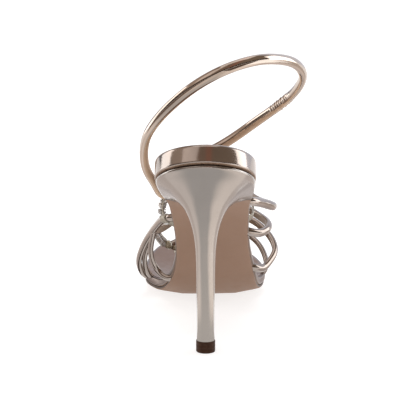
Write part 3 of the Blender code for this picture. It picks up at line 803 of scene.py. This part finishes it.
def running_length(points):
    return np.concatenate(([0.0], np.cumsum(np.linalg.norm(np.diff(points, axis=0), axis=1))))


def creases(frames):
    """How much the section swells at each frame: a burst of ridges and troughs round one place."""
    points = np.array([f[0] for f in frames])
    run = running_length(points)
    middle = run[np.argmin(np.linalg.norm(points - np.array(CREASES_AT), axis=1))]
    fade = np.exp(-((run - middle) / CREASES_REACH) ** 4)
    phase = 2.0 * math.pi * run / CREASE_PITCH
    return 1.0 + CREASE_DEPTH * fade * (np.sin(phase) + 0.5 * np.sin(phase / SLOWER))


def round_lining(share):
    """The lining is turned further in where the loop bends, so its spots change along the loop."""
    start, end = next((start, end) for limit, start, end in LINING_ROWS if share <= limit)
    return [spot % ROUND_SPOTS for spot in range(start, end)]


width, thick, rows = STRAPS["ankle_strap"]
frames = strap_frames(rows, from_leg, CREASE_STEP)
rings = strap_rings(frames, width, thick, ROUND_SECTION, creases(frames))
ankle_leathers = leather["champagne_foil"], leather["golden_lining"]
dress(make_strap("ankle_strap", rings, ankle_leathers, round_lining), [], FOIL_SLOT, "ankle_strap")

# %% [markdown]
# ## Wrapped joint
# Where the instep's crystal band meets the inner rail, a strip of leather is wound round both and pulled
# tight. A short sleeve with a ridge for each turn shows the winding.

# %% Wound sleeve
WRAP_FROM, WRAP_TO, WRAP_TURNS, WRAP_STEP = 81.4, 87.6, 4.0, 0.25
WRAP_RADIUS, WRAP_RIDGE, WRAP_OVAL, WRAP_SIDES = 2.25, 0.3, 1.12, 32
END_SIZE, END_GROWTH = 0.75, 8.0
rail_frames = strap_frames(STRAPS["medial_rail"][2], from_foot, WRAP_STEP)
wrap_frames = [f for f in rail_frames if WRAP_FROM <= f[0][1] <= WRAP_TO]
wrap_rings = []
for number, (point, ahead, away, beside) in enumerate(wrap_frames):
    share = number / (len(wrap_frames) - 1)
    ridge = abs(math.sin(math.pi * WRAP_TURNS * share)) ** 0.6
    end = min(1.0, END_GROWTH * min(share, 1.0 - share) + END_SIZE)
    radius = (WRAP_RADIUS + WRAP_RIDGE * ridge) * end
    ring = [
        point + beside * radius * WRAP_OVAL * math.cos(turn) + away * radius * math.sin(turn)
        for turn in full_turn(WRAP_SIDES)
    ]
    wrap_rings.append(to_model(ring))
dress(sweep("wound_joint", wrap_rings), [leather["wound_leather"]], FOIL_SLOT)

# %% [markdown]
# ## Crystal bands
# Two bands carry foil-backed stones in small metal cups on a thin leather strip. One cut stone and its
# cup are modelled from primitives: a disc is extruded and drawn in for the crown and the table. Copies are
# set along both faces of the strip, large ones down the middle and small ones leaning out over its edges.

# %% Crystal and cup materials
def crystal(name, first, second, metallic):
    material, tree, shader = start_material(name)
    sparkle = spread(tree, add_noise(tree, 330.0, 2.0), 0.0, 1.0, 0.35, 0.65)
    tree.links.new(blend_colours(tree, sparkle, first, second), shader.inputs["Base Color"])
    shader.inputs["Metallic"].default_value = metallic
    tree.links.new(spread(tree, add_noise(tree, 800.0, 2.0), 0.08, 0.2), shader.inputs["Roughness"])
    shader.inputs["Coat Weight"].default_value = 1.0
    shader.inputs["Coat Roughness"].default_value = 0.03
    return material


silver_stone = crystal("silver_crystal", (0.40, 0.39, 0.38), (0.92, 0.92, 0.91), 0.4)
golden_stone = crystal("golden_crystal", (0.34, 0.30, 0.21), (0.60, 0.55, 0.42), 0.2)
cup_metal = crystal("cup_metal", (0.20, 0.175, 0.14), (0.32, 0.285, 0.23), 0.5)


# %% One cut stone in its cup
def grow_rings(steps):
    """Extrude the selected disc upward and draw it in, once for each step of rise and size."""
    for rise, size in steps:
        bpy.ops.mesh.extrude_region_move(TRANSFORM_OT_translate={"value": (0.0, 0.0, rise)})
        bpy.ops.transform.resize(value=(size, size, 1.0))


STONE_SIDES, STONE_RADIUS, STONE_RAISE, CUP_SIDES, CUP_RADIUS = 8, 0.46, 0.1, 12, 0.40
STONE_STEPS = ((0.12, 1.0), (0.05, 0.98), (0.2, 0.62))
CUP_STEPS = ((0.16, 1.25), (0.08, 1.0), (0.0, 0.9))


def cut_stone(name, stone_material):
    bpy.ops.object.select_all(action="DESELECT")
    bpy.ops.mesh.primitive_circle_add(vertices=STONE_SIDES, radius=STONE_RADIUS, fill_type="NGON")
    stone = bpy.context.object
    stone.name = name
    bpy.ops.object.mode_set(mode="EDIT")
    grow_rings(STONE_STEPS)
    bpy.ops.mesh.select_all(action="SELECT")
    bpy.ops.transform.translate(value=(0.0, 0.0, STONE_RAISE))
    bpy.ops.mesh.select_all(action="DESELECT")
    bpy.ops.mesh.primitive_circle_add(vertices=CUP_SIDES, radius=CUP_RADIUS, fill_type="NGON")
    grow_rings(CUP_STEPS)
    bpy.ops.mesh.select_all(action="SELECT")
    bpy.ops.mesh.normals_make_consistent(inside=False)
    bpy.ops.object.mode_set(mode="OBJECT")
    stone.data.materials.append(stone_material)
    stone.data.materials.append(cup_metal)
    first_cup_vertex = STONE_SIDES * (len(STONE_STEPS) + 1)
    for face in stone.data.polygons:
        if min(face.vertices) >= first_cup_vertex:
            face.material_index = 1
    print(name, "has", len(stone.data.polygons), "faces")
    return stone


silver_model = cut_stone("silver_model", silver_stone)
golden_model = cut_stone("golden_model", golden_stone)


# %% Setting stones along a band
PLACE_STEP = 0.5


def set_stones(name, rows):
    """Copy stones to places (model, point, away, ahead, size in millimetres) and join them into one piece."""
    bpy.ops.object.select_all(action="DESELECT")
    copies = []
    for model, point, away, ahead, size in rows:
        copy = model.copy()
        copy.data = model.data.copy()
        bpy.context.scene.collection.objects.link(copy)
        z = Vector(away).normalized()
        x = (Vector(ahead) - z * Vector(ahead).dot(z)).normalized()
        turn = Matrix((x, z.cross(x), z)).transposed().to_4x4()
        copy.matrix_world = Matrix.Translation(to_model(point)) @ turn @ Matrix.Scale(size * 0.001, 4)
        copies.append(copy)
    for copy in copies:
        copy.select_set(True)
    bpy.context.view_layer.objects.active = copies[0]
    bpy.ops.object.join()
    piece = bpy.context.object
    piece.name = piece.data.name = name
    return piece


def band_places(name, pitch, bare):
    """Frames at even distances along a band, leaving its two ends bare."""
    frames = strap_frames(STRAPS[name][2], from_foot, PLACE_STEP)
    points = np.array([f[0] for f in frames])
    run = running_length(points)
    return [frames[int(np.argmin(abs(run - at)))] for at in np.arange(bare[0], run[-1] - bare[1], pitch)]


# %% The two bands and their stones
# Rows of stones: model, size, pitch, shifts across the band as shares of its width, lean toward the back,
# lift off the middle as a share of its thickness, and the lengths left bare at its two ends.
BANDS = {
    "instep_crystal_band": (
        (silver_model, 4.3, 3.9, (0.0,), -1.2, 0.1, (40.0, 9.0)),
        (silver_model, 2.4, 2.2, (-0.36, 0.36), 0.0, 0.05, (41.0, 32.0))),
    "toe_crystal_band": (
        (golden_model, 5.4, 15.0, (0.0,), 2.0, 0.5, (42.5, 8.0)),
        (silver_model, 2.6, 2.9, (-0.2, 0.2), 1.2, 0.15, (9.0, 56.0))),
}
STRIP_WIDTH, STRIP_THICK, EDGE_LEAN = 0.62, 0.42, 1.8
stone_count = 0
for name, stone_rows in BANDS.items():
    width, thick, rows = STRAPS[name]
    frames = strap_frames(rows, from_foot, STRAP_STEP)
    strip = sweep(name + "_strip", strap_rings(frames, width * STRIP_WIDTH, thick * STRIP_THICK))
    dress(strip, [leather["wound_leather"]], FOIL_SLOT)
    stones = []
    for model, size, pitch, shifts, back_lean, lift, bare in stone_rows:
        for face in (1, -1):
            for point, ahead, away, beside in band_places(name, pitch, bare):
                for shift in shifts:
                    seat = point + away * face * lift * thick + beside * shift * width
                    way = away * face + beside * shift * EDGE_LEAN - ahead * back_lean
                    stones.append((model, seat, way, ahead + away, size))
    stone_count += len(stones)
    dress(set_stones(name + "_stones", stones), [], "crystal")
for model in (silver_model, golden_model):
    bpy.data.objects.remove(model, do_unlink=True)
print("stones set:", stone_count)

# %% [markdown]
# ## Floor
# The shoe stands on a pale sheet that fills the view. The sheet gives off a soft light of its own, as a lit
# table does, so the shoe's shadow stays faint. Its glow is raised on the shoe's outer side, a painted pool of
# light.

# %% Pale floor
bpy.ops.object.select_all(action="DESELECT")
bpy.ops.mesh.primitive_plane_add(size=40.0, location=(0.0, 0.0, 0.0))
floor = bpy.context.object
floor.name = "pale_floor"
material, tree, shader = start_material("pale_paper")
paper = spread(tree, add_noise(tree, 40.0, 2.0), 0.0, 1.0)
paper = blend_colours(tree, paper, (0.40, 0.40, 0.40), (0.42, 0.42, 0.42))
tree.links.new(paper, shader.inputs["Base Color"])
shader.inputs["Roughness"].default_value = 0.9
SHEET, PAINTED_LIGHT_POOL, FAR_SHEET = (0.76, 0.76, 0.76), (1.6, 1.6, 1.6), (1.0, 1.0, 1.0)
place = object_place(tree)
# A painted pool of light: the sheet's glow rises on the shoe's outer side, from the heel back toward the
# camera.
glow = fade_colours(tree, place["X"], 0.06, 0.2, SHEET, PAINTED_LIGHT_POOL)
glow = fade_colours(tree, place["Y"], -0.03, 0.06, glow, SHEET)
glow = fade_colours(tree, place["Y"], 0.15, 1.2, glow, FAR_SHEET)
tree.links.new(glow, shader.inputs["Emission Color"])
shader.inputs["Emission Strength"].default_value = 1.0
floor.data.materials.append(material)
floor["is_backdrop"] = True

# %% [markdown]
# ## Flags
# A mirror finish has no edges of its own in a white room. Studios lay cards just out of shot; the cards here
# are painted reflections instead: glowing sheets laid flat on the floor and seen only in reflections, so they
# hide nothing and cast no shadow. Dark ones paint crisp dark lines along every strap, pale tinted ones paint
# warm reflections of the sheet, and a small dark one under the forefoot paints the shoe's contact shadow.

# %% Cards on the floor
def oblong(left, near, right, far):
    return (left, near), (right, near), (right, far), (left, far)


def lay_flag(name, corners, height, tint):
    bpy.ops.object.select_all(action="DESELECT")
    bpy.ops.mesh.primitive_plane_add(size=1.0, location=(0.0, 0.0, 0.0))
    flag = bpy.context.object
    flag.name = flag.data.name = name
    order = sorted(flag.data.vertices, key=lambda vert: math.atan2(vert.co.y, vert.co.x))
    for vert, (x, y) in zip(order, corners):
        vert.co = (x, y, height)
    card, tree, shader = start_material(name + "_card")
    # Each card is black and glows with its tint: a painted reflection, not a lamp, seen in reflections only.
    shader.inputs["Base Color"].default_value = (0.0, 0.0, 0.0, 1.0)
    shader.inputs["Specular IOR Level"].default_value = 0.0
    shader.inputs["Emission Color"].default_value = (*tint, 1.0)
    shader.inputs["Emission Strength"].default_value = 1.0
    flag.data.materials.append(card)
    flag.visible_camera = flag.visible_diffuse = flag.visible_shadow = False
    flag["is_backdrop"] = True
    print(name, "laid from", corners[0], "to", corners[2])


# The tints are painted reflections: dark cards paint dark lines, pale cards paint warm pale reflections.
FLAGS = {
    "near_flag": (oblong(-0.27, -4.0, 0.2, -0.06), (0.75, 0.727, 0.712)),
    "left_flag": (((-4.0, -4.0), (-0.27, -4.0), (-0.27, -0.08), (-4.0, 0.2)), (0.25, 0.19, 0.155)),
    "right_flag": (((0.2, -4.0), (4.0, -4.0), (4.0, -1.7), (0.105, -0.235)), (0.17, 0.125, 0.10)),
    "far_flag": (((0.2, 0.0), (4.0, 0.6), (4.0, 1.2), (0.2, 0.1)), (0.74, 0.65, 0.59)),
    "left_strip": (oblong(-0.09, -0.01, -0.0605, 0.15), (0.76, 0.69, 0.67)),
    "right_strip": (oblong(0.045, -0.01, 0.088, 0.14), (0.76, 0.69, 0.67)),
    "left_pad": (oblong(-0.27, -0.06, -0.09, 0.15), (0.95, 0.85, 0.80)),
    "right_pad": (oblong(0.088, -0.06, 0.2, 0.1), (0.98, 0.88, 0.83)),
    "strap_card": (oblong(-0.27, -4.0, 0.09, -0.265), (0.95, 0.86, 0.80)),
    # A dark card under the forefoot's inner edge: a painted contact shadow, seen only in the leather's
    # reflections.
    "painted_contact_shadow_card": (oblong(-0.0605, -0.02, -0.0515, 0.12), (0.12, 0.09, 0.075)),
}
CARD_STEP = 0.0001
for number, (name, (corners, tint)) in enumerate(FLAGS.items(), 1):
    lay_flag(name, corners, CARD_STEP * number, tint)

# %% The card behind the heel: painted shade in its middle, painted light toward its sides
tree = bpy.data.materials["near_flag_card"].node_tree
place = object_place(tree)
outer = tree.nodes.new("ShaderNodeMath")
outer.operation = "MULTIPLY"
tree.links.new(spread(tree, place["X"], 0.0, 1.0, -0.06, -0.10), outer.inputs[0])
tree.links.new(spread(tree, place["Y"], 0.0, 1.0, -0.175, -0.125), outer.inputs[1])
fade = blend_colours(tree, outer.outputs["Value"], FLAGS["near_flag"][1], (1.16, 1.07, 1.02))
fade = fade_colours(tree, place["X"], 0.045, 0.09, fade, (1.38, 1.27, 1.19))
tree.links.new(fade, tree.nodes["Principled BSDF"].inputs["Emission Color"])

# %% [markdown]
# ## Light and room
# Mirror leather shows the room more than itself, so the light is built as a room: a warm dark ceiling behind
# the camera, a white cove beyond the toe, a tall soft box on each side, and a dim panel high on the left
# that gives the seat its pale patch.

# %% Soft boxes
LIGHT_AIM = Vector((0.0, -0.03, 0.1))


def soft_box(name, azimuth, elevation, distance, size, glow, colour=(1.0, 1.0, 1.0)):
    """A rectangle of light round the shoe: azimuth 0 is behind the camera, 90 on its right."""
    turn, rise = math.radians(azimuth), math.radians(elevation)
    way = Vector((math.sin(turn) * math.cos(rise), -math.cos(turn) * math.cos(rise), math.sin(rise)))
    data = bpy.data.lights.new(name, "AREA")
    data.shape, data.size, data.size_y = "RECTANGLE", size[0], size[1]
    data.energy = glow * math.pi * size[0] * size[1]
    data.color = colour
    light = bpy.data.objects.new(name, data)
    bpy.context.scene.collection.objects.link(light)
    light.location = LIGHT_AIM + way * distance
    light.rotation_euler = way.to_track_quat("Z", "Y").to_euler()
    light.visible_camera = False
    print(name, "at", [round(value, 2) for value in light.location])
    return light


soft_box("right_box", 99.0, 16.0, 0.95, (0.45, 0.72), 2.6)
soft_box("left_box", -108.5, 13.0, 0.95, (0.47, 0.66), 2.3)
soft_box("left_panel", -45.0, 42.0, 0.95, (0.56, 0.62), 0.56, (1.0, 0.95, 0.93))
soft_box("top_panel", 0.0, 88.0, 1.0, (0.85, 0.85), 0.85)
fill = soft_box("back_box", 180.0, 52.0, 1.1, (0.9, 0.6), 3.5)
fill.visible_glossy = False

# %% Room colours
world = bpy.data.worlds.new("studio_room")
bpy.context.scene.world = world
world.use_nodes = True
tree = world.node_tree
background = tree.nodes["Background"]
way = tree.nodes.new("ShaderNodeTexCoord").outputs["Generated"]
parts = tree.nodes.new("ShaderNodeSeparateXYZ")
tree.links.new(way, parts.inputs["Vector"])
across, up = parts.outputs["X"], parts.outputs["Z"]
ceiling = fade_colours(tree, across, -0.8, -0.3, (0.52, 0.41, 0.34), (0.29, 0.205, 0.155))
ceiling = fade_colours(tree, across, -0.02, 0.08, ceiling, (0.37, 0.19, 0.135))
ceiling = fade_colours(tree, across, 0.2, 0.3, ceiling, (0.27, 0.205, 0.155))
room = fade_colours(tree, up, 0.16, 0.30, (0.055, 0.042, 0.034), ceiling)
beyond = tree.nodes.new("ShaderNodeVectorMath")
beyond.operation = "DOT_PRODUCT"
tree.links.new(way, beyond.inputs[0])
beyond.inputs[1].default_value = (0.33, 0.94, 0.0)
room = fade_colours(tree, beyond.outputs["Value"], 0.35, 0.7, room, (0.94, 0.97, 1.08))
tree.links.new(room, background.inputs["Color"])
background.inputs["Strength"].default_value = 1.0
print("room made of", len(tree.nodes), "nodes")

# %% [markdown]
# ## Camera
# The photograph looks at the heel from behind and a little above, from some way off with a long lens.

# %% Camera at the photograph's angle
camera_data = bpy.data.cameras.new("camera")
camera = bpy.data.objects.new("camera", camera_data)
bpy.context.scene.collection.objects.link(camera)
camera_data.sensor_width = 36.0
camera_data.lens = 110.7
CAMERA_ASIDE, CAMERA_BEHIND, CAMERA_HEIGHT, CAMERA_DIP = 0.00127, 0.650, 0.2045, 10.66
camera.location = (MIDDLE_X + CAMERA_ASIDE, BACK_Y - CAMERA_BEHIND, CAMERA_HEIGHT)
camera.rotation_euler = (math.radians(90.0 - CAMERA_DIP), 0.0, 0.0)
bpy.context.scene.camera = camera
bpy.context.scene.view_settings.view_transform = "Standard"
print("lens", camera_data.lens, "mm at", [round(value, 3) for value in camera.location])

# %% Sizes
visual_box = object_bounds()
for name, box in (("cad", CAD_BOX), ("visual", visual_box)):
    print(name, "box", [[round(value, 4) for value in corner] for corner in box])
